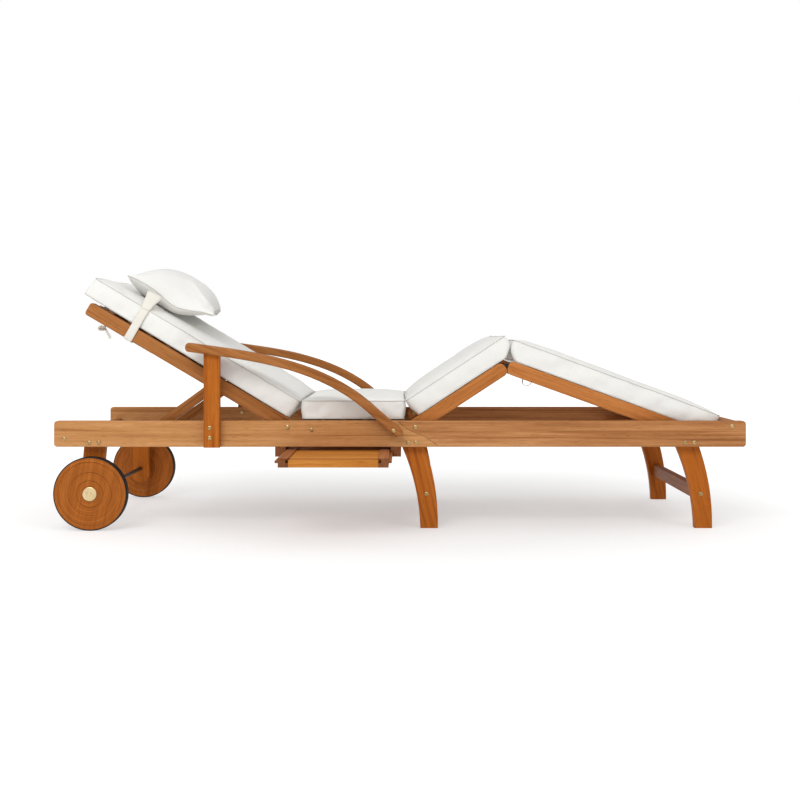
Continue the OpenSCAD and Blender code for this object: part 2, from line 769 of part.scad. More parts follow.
// Turned wooden disc with shallow ring grooves on both faces
module wheel_disc() {
    r = wheel_d / 2 - tyre_t;
    h = wheel_t / 2;
    bore = 6.3;
    top = [for (g = groove_r) each [[g - 0.9, h], [g, h - 1.1], [g + 0.9, h]]];
    bottom = [for (i = [len(top) - 1:-1:0]) [top[i][0], -top[i][1]]];
    rim = [[r - 2, h], [r, h - 2], [r, 2 - h], [r - 2, -h]];
    profile = concat([[bore, -h], [bore, h]], top, rim, bottom);
    rotate([90, 0, 0]) rotate_extrude($fn = 96) polygon(profile);
}
module wheel(right) {
    color(wood_c) on_side(right) translate([axle_x, wheel_y0 + wheel_t / 2, wheel_d / 2]) wheel_disc();
}
module tyre(right) {
    h = wheel_t / 2 - 2;
    r = wheel_d / 2;
    profile = [[r - tyre_t, -h], [r - 1, -h], [r, 1 - h], [r, h - 1], [r - 1, h], [r - tyre_t, h]];
    color(rubber_c) on_side(right) translate([axle_x, wheel_y0 + wheel_t / 2, wheel_d / 2])
        rotate([90, 0, 0]) rotate_extrude($fn = 96) polygon(profile);
}
module axle() {
    color(steel_c) rod_y(axle_x, wheel_d / 2, 6, wheel_y0 - 1, -wheel_y0 + 1);
}
module axle_caps() {
    color(brass_c) for (s = [0, 1]) on_side(s == 1) translate([axle_x, wheel_y0 - 1, wheel_d / 2])
        rotate([90, 0, 0]) {
            rotate_extrude()
                polygon([[0, 0], [20, 0], [20, 1.6], [18.5, 2.6], [9, 2.6], [8, 3.4], [0, 3.4]]);
            cylinder(h = 5.4, r = 6.2, $fn = 6);
        }
}
module wheel_spacers() {
    y0 = wheel_y0 + wheel_t + 0.4;
    color(steel_c) for (s = [0, 1]) on_side(s == 1) difference() {
        rod_y(axle_x, wheel_d / 2, 11, y0, -rail_in);
        rod_y(axle_x, wheel_d / 2, 6.1, y0 - 1, 1 - rail_in);
    }
}

// ---------- nodes ----------

side_rail_head(false);  // side_rail_head_left
side_rail_head(true);  // side_rail_head_right
side_rail_foot(false);  // side_rail_foot_left
side_rail_foot(true);  // side_rail_foot_right
head_cross_bar();
foot_cross_rail();
seat_bearers();
seat_slats();
wheel_leg(false);  // wheel_leg_left
wheel_leg(true);  // wheel_leg_right
mid_leg(false);  // mid_leg_left
mid_leg(true);  // mid_leg_right
foot_leg(false);  // foot_leg_left
foot_leg(true);  // foot_leg_right
mid_stretcher();
foot_stretcher();
arm_post(false);  // arm_post_left
arm_post(true);  // arm_post_right
arm(false);  // arm_left
arm(true);  // arm_right
prop_racks();
foot_racks();
tray_runners();
axle();
axle_caps();
wheel_spacers();
leg_bolts();
frame_bolts();
pivot_bolts();
seat_cushion();
backrest_stile(false);  // backrest_stile_left
backrest_stile(true);  // backrest_stile_right
backrest_slats();
backrest_head_rail();
prop_pins();
backrest_cushion();
head_pillow();
pillow_strap();
backrest_ties();
prop_strut(false);  // prop_strut_left
prop_strut(true);  // prop_strut_right
prop_foot_bar();
thigh_stile(false);  // thigh_stile_left
thigh_stile(true);  // thigh_stile_right
thigh_slats();
thigh_hinge_leaves();
thigh_cushion();
foot_stile(false);  // foot_stile_left
foot_stile(true);  // foot_stile_right
foot_slats();
foot_end_bar();
foot_hinge_leaves();
foot_cushion();
foot_ties();
tray_side_rails();
tray_slats();
wheel(false);  // wheel_left
wheel(true);  // wheel_right
tyre(false);  // tyre_left
tyre(true);  // tyre_right
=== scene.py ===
"""Cushions, materials, light and camera of the reclining sun lounger.

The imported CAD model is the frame: every piece made here is placed from its boxes and joints.
Lengths are in metres. +X is the foot end, -Y is the near side in the main view, +Z is up.
"""

import json
import math

import bpy
import numpy as np
from mathutils import Matrix, Vector, noise


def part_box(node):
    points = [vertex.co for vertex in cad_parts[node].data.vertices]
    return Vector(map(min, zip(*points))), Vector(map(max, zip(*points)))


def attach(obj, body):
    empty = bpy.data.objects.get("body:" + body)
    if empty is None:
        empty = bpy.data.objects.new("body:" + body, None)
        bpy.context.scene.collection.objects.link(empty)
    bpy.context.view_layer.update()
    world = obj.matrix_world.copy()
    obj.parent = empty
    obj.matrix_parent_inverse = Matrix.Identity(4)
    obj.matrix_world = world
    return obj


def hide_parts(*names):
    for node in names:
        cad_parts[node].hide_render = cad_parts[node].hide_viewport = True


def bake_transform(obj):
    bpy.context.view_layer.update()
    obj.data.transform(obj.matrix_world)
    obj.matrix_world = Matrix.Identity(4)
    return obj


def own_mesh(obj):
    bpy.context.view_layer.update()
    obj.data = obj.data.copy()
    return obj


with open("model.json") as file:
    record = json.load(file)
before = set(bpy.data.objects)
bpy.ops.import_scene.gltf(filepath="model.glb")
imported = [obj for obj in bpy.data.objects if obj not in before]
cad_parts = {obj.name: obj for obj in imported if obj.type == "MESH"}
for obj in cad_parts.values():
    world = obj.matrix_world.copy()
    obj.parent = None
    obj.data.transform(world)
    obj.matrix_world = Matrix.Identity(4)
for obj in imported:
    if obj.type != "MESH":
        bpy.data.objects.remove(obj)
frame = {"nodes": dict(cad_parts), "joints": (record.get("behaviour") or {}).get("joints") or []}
bpy.context.view_layer.update()

# ---------- sizes ----------

GRID = 0.012  # size of a cell of the cushion covers
BOTTOM_W = 0.0222  # cushion underside above the middle of the stiles
SEAM_W = 0.0765  # height of the upper seam above the middle of the stiles
CROWN = 0.010  # how far the top panel stands above its seam
PLAN_RADIUS = 0.014  # radius of a cushion's corners from above
SEAM_CREASE = 0.75  # how sharp the cover's edge is along its seams
PULL_IN = 0.004  # how far a side pulls in between its corners
PIPING_R = 0.0014
SLAT_CLEARANCE = 0.0212  # a cushion's lowest height above the middle of the stiles

CLOTH_FRAMES = 18
PRESSURE = 4.0
COVER_CAP = 0.011  # how far a cover may swell from its cut shape
COVER_SLACK = 0.02  # spare cloth in a cover, as a share of its size
PILLOW_CAP = 0.008  # the same two for the pillow
PILLOW_SLACK = 0.05

PILLOW_TURN = math.radians(5.0)  # the pillow lies a little askew
PILLOW_MIDDLE = 0.5000  # distance from the hip pivot to the middle of its near end
PILLOW_HALF = 0.1440  # half its length along the backrest
PILLOW_LEVEL = 0.1500  # height of its seam above the middle of the stiles
PILLOW_TOP = 0.076  # how far the top panel rises above the seam
PILLOW_UNDER = 0.060  # how far the lower panel hangs below the seam
PILLOW_REST = 0.0885  # its lowest height above the middle of the stiles
PILLOW_SOFT = 0.005  # height over which its underside flattens as it rests

STRAP_W = 0.025
STRAP_T = 0.0012
FLAP_SPREAD = 0.026  # how much wider the strap is where it meets the pillow
TIE_W = 0.012
TIE_T = 0.0016
TIE_Y = 0.252  # distance of the ties from the middle of the lounger

FLOOR_HALF = 30.0
WOOD_ROUGHNESS = 0.46

CAMERA_PLACE = (0.0116, -3.575, 0.5627)
CAMERA_LENS = 50.6
CAMERA_SHIFT = (-0.005, -0.0813)

# ---------- places taken from the CAD joints ----------

JOINTS = {j["name"]: j for j in frame["joints"]}


def section(joint, rise, side):
    """Place of a hinged section at rest: X runs along it from its pivot, Z stands on it."""
    angle = math.radians(rise)
    along = Vector((side * math.cos(angle), 0, math.sin(angle)))
    up = Vector((-side * math.sin(angle), 0, math.cos(angle)))
    across = up.cross(along)
    turn = Matrix((along, across, up)).transposed().to_4x4()
    return Matrix.Translation(Vector(JOINTS[joint]["pos_m"])) @ turn


recline = -JOINTS["backrest_recline"]["range_deg"][0]
knee_rise = -JOINTS["knee_lift"]["range_deg"][0]
foot_fall = -JOINTS["apex_fold"]["range_deg"][0] - knee_rise
BACK = section("backrest_recline", recline, -1)
THIGH = section("knee_lift", knee_rise, 1)
FOOT = section("apex_fold", -foot_fall, 1)
SEAT = Matrix.Translation(Vector((0, 0, BACK.translation.z)))
BACK_SIDE = -BACK.col[1].y  # +1 where the backrest's own Y axis points to the near side

cushion_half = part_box("seat_cushion")[1].y
pillow_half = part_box("head_pillow")[1].y

# ---------- meshes ----------


def new_mesh(name, points, faces):
    """A smooth mesh object from points and faces, with its normals outward."""
    mesh = bpy.data.meshes.new(name)
    mesh.from_pydata([tuple(p) for p in points], [], faces)
    mesh.update()
    obj = bpy.data.objects.new(name, mesh)
    bpy.context.scene.collection.objects.link(obj)
    bpy.context.view_layer.objects.active = obj
    obj.select_set(True)
    bpy.ops.object.mode_set(mode="EDIT")
    bpy.ops.mesh.select_all(action="SELECT")
    bpy.ops.mesh.normals_make_consistent(inside=False)
    bpy.ops.object.mode_set(mode="OBJECT")
    obj.select_set(False)
    mesh.shade_smooth()
    return obj


def waver(p, size, seed):
    """A smooth value from -1 to 1 that changes over about size metres."""
    return noise.noise(Vector(p) / size + Vector((seed * 7.3, seed * 3.1, seed * 5.7)))


def box_surface(cells):
    """Points (as whole steps) and faces of a closed box grid."""
    n = cells
    index, points, faces = {}, [], []

    def at(step):
        if step not in index:
            index[step] = len(points)
            points.append(step)
        return index[step]

    for axis in range(3):
        a, b = [k for k in range(3) if k != axis]
        for end in (0, n[axis]):
            for i in range(n[a]):
                for j in range(n[b]):
                    quad = []
                    for di, dj in ((0, 0), (1, 0), (1, 1), (0, 1)):
                        step = [0, 0, 0]
                        step[axis], step[a], step[b] = end, i + di, j + dj
                        quad.append(at(tuple(step)))
                    faces.append(quad)
    return points, faces


def soften_corner(x, y, half_x, half_y, radius):
    """Moves a point of a rectangle so that its corners are round."""
    ix = max(-(half_x - radius), min(half_x - radius, x))
    iy = max(-(half_y - radius), min(half_y - radius, y))
    dx, dy = x - ix, y - iy
    far = math.hypot(dx, dy)
    if far < 1e-9:
        return x, y
    reach = max(abs(dx), abs(dy)) / far
    return ix + dx * reach, iy + dy * reach


def cushion(name, place, low, high, seed, bulge=0.0, crown=CROWN):
    """A boxed cushion before it is filled.

    low and high are the ((start, w), (end, w)) corners of its lower and upper seams.
    The end that leans over the apex bulges, the far end if bulge is above 0.
    """
    (l0, lw0), (l1, lw1) = low
    (h0, hw0), (h1, hw1) = high
    length = (l1 - l0 + h1 - h0) / 2
    cells = (round(length / GRID), round(2 * cushion_half / GRID), 5)
    steps, faces = box_surface(cells)
    points = []
    for i, j, k in steps:
        s, t, h = (m / n for m, n in zip((i, j, k), cells))
        x, y = (s - 0.5) * length, (t * 2 - 1) * cushion_half
        x, y = soften_corner(x, y, length / 2, cushion_half, PLAN_RADIUS)
        ex, ey = 2 * x / length, y / cushion_half
        x -= PULL_IN * ex**3 * (1 - ey * ey)
        y -= PULL_IN * ey**3 * (1 - ex * ex)
        s = x / length + 0.5
        start, end = l0 + (h0 - l0) * h, l1 + (h1 - l1) * h
        w = (lw0 + (lw1 - lw0) * s) * (1 - h) + (hw0 + (hw1 - hw0) * s) * h
        if k == cells[2]:
            w += 0.5 * crown * (1 - ex**6) * (1 - ey**6)
        u = start + (end - start) * s
        u += bulge * (s if bulge > 0 else 1 - s) ** 8 * math.sin(math.pi * h)
        spot = (u, y, w)
        u += 0.0012 * waver(spot, 0.06, seed)
        y += 0.0010 * waver(spot, 0.07, seed + 1)
        w += 0.0012 * waver(spot, 0.09, seed + 2) * h
        points.append(place @ Vector((u, y, w)))
    obj = new_mesh(name, points, faces)
    n = cells

    def ring(level):
        edge = [(i, 0, level) for i in range(n[0])]
        edge += [(n[0], j, level) for j in range(n[1])]
        edge += [(i, n[1], level) for i in range(n[0], 0, -1)]
        edge += [(0, j, level) for j in range(n[1], 0, -1)]
        where = {step: at for at, step in enumerate(steps)}
        return [where[step] for step in edge]

    rings = [ring(0), ring(n[2])]
    hold(obj, [v for r in rings for v in r])
    crease(obj, rings, SEAM_CREASE)
    return obj, rings


def hold(obj, vertices):
    """Marks the seam vertices that keep their place while the cover fills."""
    group = obj.vertex_groups.new(name="seams")
    group.add(vertices, 1.0, "REPLACE")


def crease(obj, rings, value):
    """Keeps the edges along these rings of vertices crisp when the cover is subdivided."""
    sharp = {frozenset(pair) for r in rings for pair in zip(r, r[1:] + r[:1])}
    layer = obj.data.attributes.new("crease_edge", "FLOAT", "EDGE")
    for edge in obj.data.edges:
        if frozenset(edge.vertices) in sharp:
            layer.data[edge.index].value = value


def fill(covers):
    """Fills all the covers with pressure at once, and gives each its new shape."""
    rest = {}
    for obj, _, slack in covers:
        rest[obj.name] = points_of(obj)
        cloth = obj.modifiers.new("fill", "CLOTH")
        s = cloth.settings
        s.quality = 6
        s.mass = 0.25
        s.tension_stiffness = s.compression_stiffness = 12
        s.shear_stiffness = 4
        s.bending_stiffness = 0.15
        s.shrink_min = -slack
        s.use_pressure = True
        s.uniform_pressure_force = PRESSURE
        s.vertex_group_mass = "seams"
        s.effector_weights.gravity = 0
        cloth.collision_settings.use_collision = False
    scene = bpy.context.scene
    for step in range(1, CLOTH_FRAMES + 1):
        scene.frame_set(step)
    graph = bpy.context.evaluated_depsgraph_get()
    swollen = {}
    for obj, _, _ in covers:
        shape = obj.evaluated_get(graph).to_mesh()
        swollen[obj.name] = np.array([v.co for v in shape.vertices])
        obj.evaluated_get(graph).to_mesh_clear()
    for obj, cap, _ in covers:
        obj.modifiers.clear()
        move = swollen[obj.name] - rest[obj.name]
        size = np.linalg.norm(move, axis=1, keepdims=True)
        soft = cap * np.tanh(size / cap) / np.maximum(size, 1e-9)
        set_points(obj, rest[obj.name] + move * soft)
    scene.frame_set(1)


def points_of(obj):
    co = np.zeros(len(obj.data.vertices) * 3)
    obj.data.vertices.foreach_get("co", co)
    return co.reshape(-1, 3)


def set_points(obj, co):
    obj.data.vertices.foreach_set("co", co.astype(np.float32).ravel())
    obj.data.update()


def in_section(obj, place):
    """The points of a piece in a section's own axes."""
    back = np.array(place.inverted())
    return points_of(obj) @ back[:3, :3].T + back[:3, 3]


def from_section(obj, place, co):
    m = np.array(place)
    set_points(obj, co @ m[:3, :3].T + m[:3, 3])


def rest_on(obj, place, low, soft=0.003):
    """Presses the underside flat where it would go lower than low."""
    co = in_section(obj, place)
    under = co[:, 2] < low + soft
    co[under, 2] = low + soft * np.exp((co[under, 2] - low - soft) / soft)
    from_section(obj, place, co)


def subdivide(obj):
    """One level of smooth subdivision; the first vertices stay the cage's own."""
    m = obj.modifiers.new("smooth", "SUBSURF")
    m.levels = m.render_levels = 1
    graph = bpy.context.evaluated_depsgraph_get()
    mesh = bpy.data.meshes.new_from_object(obj.evaluated_get(graph))
    obj.modifiers.clear()
    old = obj.data
    obj.data = mesh
    mesh.name = obj.name
    bpy.data.meshes.remove(old)
    mesh.shade_smooth()


def tube(points, radius, sides=7):
    """Points and faces of a closed round tube along a ring of points."""
    ring = np.array(points)
    ahead = np.roll(ring, -1, axis=0) - np.roll(ring, 1, axis=0)
    ahead /= np.linalg.norm(ahead, axis=1, keepdims=True)
    normal = np.cross(ahead, ring - ring.mean(0))
    normal /= np.linalg.norm(normal, axis=1, keepdims=True)
    side = np.cross(ahead, normal)
    out, faces, n = [], [], len(ring)
    for i in range(n):
        for k in range(sides):
            a = 2 * math.pi * k / sides
            out.append(ring[i] + radius * (math.cos(a) * normal[i] + math.sin(a) * side[i]))
            j, l = (i + 1) % n, (k + 1) % sides
            faces.append([i * sides + k, i * sides + l, j * sides + l, j * sides + k])
    return out, faces


def add_piping(obj, rings):
    """Sews a round piping on the seams, as part of the cover's own mesh."""
    co = points_of(obj)
    for number, ring in enumerate(rings):
        points, faces = tube(co[ring], PIPING_R)
        piece = new_mesh(f"{obj.name}_piping_{number}", points, faces)
        # The piping's darker colour is painted shade along the seam.
        paint(piece, SEAM)
        join(obj, piece)


def join(obj, piece):
    bpy.ops.object.select_all(action="DESELECT")
    piece.select_set(True)
    obj.select_set(True)
    bpy.context.view_layer.objects.active = obj
    bpy.ops.object.join()
    obj.select_set(False)


def ribbon(name, line, normals, width, thick):
    """A flat tape along a line: normals point away from what it lies on."""
    line, normals = np.array(line), np.array(normals)
    ahead = np.gradient(line, axis=0)
    ahead /= np.linalg.norm(ahead, axis=1, keepdims=True)
    across = np.cross(ahead, normals)
    across /= np.linalg.norm(across, axis=1, keepdims=True)
    normals = np.cross(across, ahead)
    points, faces, n = [], [], len(line)
    widths = np.broadcast_to(width, n)
    lanes = (-1, -0.5, 0, 0.5, 1)
    for i in range(n):
        for lift in (0, thick):
            for lane in lanes:
                points.append(line[i] + across[i] * lane * widths[i] / 2 + normals[i] * lift)
    m = len(lanes)
    for i in range(n - 1):
        a, b = i * 2 * m, (i + 1) * 2 * m
        for k in range(m - 1):
            faces.append([a + k, a + k + 1, b + k + 1, b + k])
            faces.append([a + m + k, b + m + k, b + m + k + 1, a + m + k + 1])
        faces.append([a, b, b + m, a + m])
        faces.append([a + m - 1, a + 2 * m - 1, b + 2 * m - 1, b + m - 1])
    end = (n - 1) * 2 * m
    for a in (0, end):
        for k in range(m - 1):
            faces.append([a + k, a + k + 1, a + m + k + 1, a + m + k])
    return new_mesh(name, points, faces)


def smooth_line(points, count):
    """A smooth line through the points, with count points on it."""
    p = np.array(points, float)
    p = np.vstack([2 * p[0] - p[1], p, 2 * p[-1] - p[-2]])
    out = []
    spans = len(p) - 3
    for t in np.linspace(0, spans - 1e-6, count):
        i = int(t)
        f = t - i
        a, b, c, d = p[i : i + 4]
        out.append(
            0.5 * (2 * b + (c - a) * f + (2 * a - 5 * b + 4 * c - d) * f**2
                   + (3 * b - a - 3 * c + d) * f**3)
        )
    return np.array(out)


# ---------- materials ----------


class Nodes:
    """Short calls for building a material."""

    def __init__(self, name):
        self.material = bpy.data.materials.new(name)
        self.material.use_nodes = True
        self.tree = self.material.node_tree
        self.shader = self.tree.nodes["Principled BSDF"]

    def add(self, kind, inputs=(), **settings):
        node = self.tree.nodes.new(kind)
        for key, value in settings.items():
            setattr(node, key, value)
        for key, value in dict(inputs).items():
            self.put(node.inputs[key], value)
        return node

    def put(self, socket, value):
        if isinstance(value, bpy.types.NodeSocket):
            self.tree.links.new(value, socket)
        else:
            socket.default_value = value

    def math(self, operation, a, b=0.0, c=0.0):
        return self.add("ShaderNodeMath", {0: a, 1: b, 2: c}, operation=operation).outputs[0]

    def vector(self, operation, a, b=(0, 0, 0)):
        node = self.add("ShaderNodeVectorMath", {0: a, 1: b}, operation=operation)
        return node.outputs["Value" if operation == "DOT_PRODUCT" else "Vector"]

    def noise(self, vector, scale, detail=2.0, rough=0.5, distortion=0.0):
        inputs = {"Vector": vector, "Scale": scale, "Detail": detail}
        inputs.update({"Roughness": rough, "Distortion": distortion})
        return self.add("ShaderNodeTexNoise", inputs).outputs["Fac"]

    def ramp(self, value, stops):
        node = self.add("ShaderNodeValToRGB", {"Fac": value})
        elements = node.color_ramp.elements
        while len(elements) < len(stops):
            elements.new(0.5)
        for element, (place, color) in zip(elements, stops):
            element.position = place
            element.color = (*color, 1)
        return node.outputs["Color"]

    def scale_color(self, color, factor):
        """Color times a factor that changes over the surface."""
        node = self.add("ShaderNodeVectorMath", {0: color}, operation="SCALE")
        self.put(node.inputs["Scale"], factor)
        return node.outputs[0]

    def bump(self, height, strength, distance):
        inputs = {"Height": height, "Strength": strength, "Distance": distance}
        self.put(self.shader.inputs["Normal"], self.add("ShaderNodeBump", inputs).outputs[0])


def wood(name, tones, along, across=None, pitch=0.0, turned=None):
    """Oiled hardwood whose grain runs along a direction.

    Boards that share a node change their grain every pitch metres across, and turned is the
    middle of a disc with lathe marks around it.
    """
    n = Nodes(name)
    along = Vector(along).normalized()
    turn = Vector((1, 0, 0)).rotation_difference(along).to_euler()
    place = n.add("ShaderNodeTexCoord").outputs["Object"]
    grain = n.add(
        "ShaderNodeMapping", {"Vector": place, "Rotation": turn}, vector_type="TEXTURE"
    ).outputs[0]
    each = n.add("ShaderNodeObjectInfo").outputs["Random"]
    shift = n.math("MULTIPLY", each, 37.0)
    if pitch:
        lane = n.vector("DOT_PRODUCT", place, tuple(Vector(across).normalized() / pitch))
        board = n.math("FLOOR", n.math("ADD", lane, 0.5))
        shift = n.math("MULTIPLY_ADD", board, 3.71, shift)
    apart = n.add("ShaderNodeCombineXYZ", {0: shift, 1: shift, 2: shift}).outputs[0]
    moved = n.vector("ADD", grain, apart)
    streak = n.noise(n.vector("MULTIPLY", moved, (4.5, 130.0, 130.0)), 1.0, 3.0, 0.55, 0.3)
    wide = n.noise(n.vector("MULTIPLY", moved, (1.4, 24.0, 24.0)), 1.0, 2.0)
    fine = n.noise(n.vector("MULTIPLY", moved, (12.0, 420.0, 420.0)), 1.0, 2.0, 0.6)
    pores = n.noise(n.vector("MULTIPLY", moved, (34.0, 850.0, 850.0)), 1.0, 1.0, 0.5)
    blend = n.math("MULTIPLY_ADD", streak, 0.50, n.math("MULTIPLY", wide, 0.50))
    dark, middle, light = tones
    color = n.ramp(blend, [(0.34, dark), (0.50, middle), (0.66, light)])
    color = n.scale_color(color, n.math("MULTIPLY_ADD", fine, 0.30, 0.85))
    if not turned:
        vein = n.noise(n.vector("MULTIPLY", moved, (0.8, 70.0, 70.0)), 1.0, 2.0, 0.5, 1.2)
        line = n.ramp(vein, [(0.33, (0.74, 0.66, 0.58)), (0.42, (1, 1, 1))])
        color = n.vector("MULTIPLY", color, line)
    pore = n.ramp(pores, [(0.30, (0.74, 0.69, 0.64)), (0.42, (1, 1, 1))])
    color = n.vector("MULTIPLY", color, pore)
    facing = n.add("ShaderNodeTexCoord").outputs["Normal"]
    end = n.math("ABSOLUTE", n.vector("DOT_PRODUCT", facing, tuple(along)))
    shade = n.ramp(end, [(0.55, (1, 1, 1)), (0.9, (0.60, 0.58, 0.60))])
    color = n.vector("MULTIPLY", color, shade)
    height = n.math("MULTIPLY_ADD", pores, 0.5, fine)
    if turned:
        out = n.vector("MULTIPLY", n.vector("SUBTRACT", place, tuple(turned)), (1, 0, 1))
        radius = n.add("ShaderNodeVectorMath", {0: out}, operation="LENGTH").outputs["Value"]
        ring = n.add("ShaderNodeCombineXYZ", {0: n.math("MULTIPLY", radius, 330.0)}).outputs[0]
        lathe = n.noise(n.vector("ADD", ring, n.vector("MULTIPLY", place, (9, 0, 9))), 1.0, 1.0)
        mark = n.ramp(lathe, [(0.60, (0, 0, 0)), (0.70, (1, 1, 1))])
        color = n.scale_color(color, n.math("MULTIPLY_ADD", mark, 0.45, 1.0))
        height = n.math("MULTIPLY_ADD", lathe, 0.8, height)
    n.put(n.shader.inputs["Base Color"], color)
    n.put(n.shader.inputs["Roughness"], n.math("MULTIPLY_ADD", fine, 0.22, WOOD_ROUGHNESS - 0.11))
    n.shader.inputs["Specular IOR Level"].default_value = 0.12
    n.bump(height, 0.22, 0.0005)
    return n.material


def canvas(name, color, cell=0.0011, crease=0.35):
    """A plain woven polyester with soft, shallow creases."""
    n = Nodes(name)
    place = n.add("ShaderNodeTexCoord").outputs["Object"]
    warp = n.vector("MULTIPLY", place, (1 / cell,) * 3)
    threads = n.add(
        "ShaderNodeTexVoronoi", {"Vector": warp, "Scale": 1.0, "Randomness": 0.35}
    ).outputs["Distance"]
    slub = n.noise(n.vector("MULTIPLY", place, (90.0, 420.0, 420.0)), 1.0, 2.0)
    cloud = n.noise(place, 7.0, 3.0)
    soft = n.noise(place, 26.0, 3.0, 0.55, 0.6)
    tone = n.math("MULTIPLY_ADD", cloud, 0.07, n.math("MULTIPLY_ADD", slub, 0.06, 0.935))
    tint = n.ramp(cloud, [(0.3, color), (0.7, [c * k for c, k in zip(color, (1.0, 0.995, 0.975))])])
    n.put(n.shader.inputs["Base Color"], n.scale_color(tint, tone))
    n.put(n.shader.inputs["Roughness"], n.math("MULTIPLY_ADD", slub, 0.10, 0.80))
    n.shader.inputs["Sheen Weight"].default_value = 0.15
    n.shader.inputs["Sheen Roughness"].default_value = 0.5
    n.shader.inputs["Specular IOR Level"].default_value = 0.25
    height = n.math("MULTIPLY_ADD", soft, 4.0 * crease, n.math("MULTIPLY", threads, 0.22))
    n.bump(height, 0.5, 0.0011)
    return n.material


def metal(name, dark, light, rough):
    """Plated metal, a little cloudy and finely brushed."""
    n = Nodes(name)
    place = n.add("ShaderNodeTexCoord").outputs["Object"]
    cloud = n.noise(place, 60.0, 3.0)
    scratch = n.noise(n.vector("MULTIPLY", place, (900.0, 90.0, 300.0)), 1.0, 2.0)
    n.put(n.shader.inputs["Base Color"], n.ramp(cloud, [(0.3, dark), (0.7, light)]))
    n.put(n.shader.inputs["Roughness"], n.math("MULTIPLY_ADD", scratch, 0.25, rough - 0.12))
    n.shader.inputs["Metallic"].default_value = 1.0
    n.bump(scratch, 0.15, 0.0003)
    return n.material


def rubber(name):
    """Black rubber with a dusty bloom."""
    n = Nodes(name)
    place = n.add("ShaderNodeTexCoord").outputs["Object"]
    dust = n.noise(place, 24.0, 4.0)
    grain = n.noise(place, 900.0, 2.0)
    n.put(
        n.shader.inputs["Base Color"],
        n.ramp(dust, [(0.35, (0.006, 0.006, 0.007)), (0.75, (0.018, 0.018, 0.018))]),
    )
    n.shader.inputs["Specular IOR Level"].default_value = 0.15
    n.put(n.shader.inputs["Roughness"], n.math("MULTIPLY_ADD", dust, 0.25, 0.5))
    n.bump(grain, 0.3, 0.0004)
    return n.material


RAIL_TONES = ((0.40, 0.170, 0.056), (0.50, 0.232, 0.080), (0.59, 0.295, 0.120))
RAIL_FOOT_TONES = ((0.32, 0.126, 0.041), (0.44, 0.190, 0.067), (0.54, 0.258, 0.104))
LEG_TONES = ((0.34, 0.085, 0.007), (0.41, 0.112, 0.010), (0.49, 0.145, 0.017))
STILE_TONES = ((0.35, 0.115, 0.024), (0.45, 0.158, 0.036), (0.54, 0.208, 0.058))
ARM_TONES = ((0.26, 0.088, 0.020), (0.33, 0.122, 0.030), (0.41, 0.166, 0.050))
SLAT_TONES = ((0.26, 0.088, 0.019), (0.35, 0.132, 0.033), (0.45, 0.190, 0.062))
WHEEL_TONES = ((0.29, 0.080, 0.009), (0.36, 0.104, 0.014), (0.42, 0.132, 0.022))
TRAY_TONES = ((0.24, 0.075, 0.024), (0.32, 0.112, 0.038), (0.42, 0.165, 0.060))
TRAY_SLAT_TONES = ((0.38, 0.125, 0.016), (0.50, 0.185, 0.028), (0.60, 0.250, 0.048))
FABRIC = (0.772, 0.768, 0.742)
# Piping tone: the cover's own cloth painted a darker grey, as painted shade for the dark line along
# the seams.
SEAM_SHADE_TONE = (0.56, 0.545, 0.51)
TAPE = (0.740, 0.705, 0.640)

AXIS_X, AXIS_Y, AXIS_Z = (1, 0, 0), (0, 1, 0), (0, 0, 1)


def direction(place):
    return place.to_3x3() @ Vector(AXIS_X)


def chord(node):
    """Diagonal of a part's box as seen from the side, rising toward +X."""
    low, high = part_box(node)
    return Vector((high.x - low.x, 0, high.z - low.z))


# Grain directions of the slanted boards.

prop_line = chord("prop_strut_right")
leg_line = Vector((0.24, 0, -1))
arm_line = Vector((0.93, 0, -0.36))
wheel = frame["nodes"]["wheel_left"]
wheel_middle = wheel.matrix_world.inverted() @ (sum(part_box("wheel_left"), Vector()) / 2)

WOODS = {
    "rail_head": wood("rail_head_wood", RAIL_TONES, AXIS_X),
    "rail_foot": wood("rail_foot_wood", RAIL_FOOT_TONES, AXIS_X),
    "bar": wood("frame_wood_across", SLAT_TONES, AXIS_Y),
    "stretcher": wood("stretcher_wood", TRAY_TONES, AXIS_Y),
    "post": wood("post_wood", LEG_TONES, AXIS_Z),
    "leg": wood("leg_wood", LEG_TONES, leg_line),
    "arm": wood("arm_wood", ARM_TONES, arm_line),
    "rack": wood("rack_wood", TRAY_TONES, AXIS_X),
    "back_stile": wood("back_stile_wood", ARM_TONES, direction(BACK)),
    "thigh_stile": wood("thigh_stile_wood", STILE_TONES, direction(THIGH)),
    "foot_stile": wood("foot_stile_wood", STILE_TONES, direction(FOOT)),
    "prop": wood("prop_wood", ARM_TONES, prop_line),
    "wheel": wood("wheel_wood", WHEEL_TONES, (0.2, 0, 1), turned=wheel_middle),
    "seat_slat": wood("seat_slat_wood", SLAT_TONES, AXIS_Y, AXIS_X, 0.06),
    "back_slat": wood("back_slat_wood", SLAT_TONES, AXIS_Y, direction(BACK), 0.07),
    "thigh_slat": wood("thigh_slat_wood", SLAT_TONES, AXIS_Y, direction(THIGH), 0.07),
    "foot_slat": wood("foot_slat_wood", SLAT_TONES, AXIS_Y, direction(FOOT), 0.07),
    "tray_rail": wood("tray_rail_wood", TRAY_TONES, AXIS_Y),
    "tray_slat": wood("tray_slat_wood", TRAY_SLAT_TONES, AXIS_X, AXIS_Y, 0.055),
}
BRASS = metal("brass_cap", (0.68, 0.52, 0.27), (0.84, 0.69, 0.42), 0.34)
BOLT = metal("brass_bolt", (0.36, 0.23, 0.09), (0.58, 0.42, 0.20), 0.36)
STEEL = metal("steel_dark", (0.055, 0.052, 0.048), (0.10, 0.095, 0.088), 0.45)
RUBBER = rubber("tyre_rubber_black")
COVER = canvas("cushion_canvas", FABRIC)
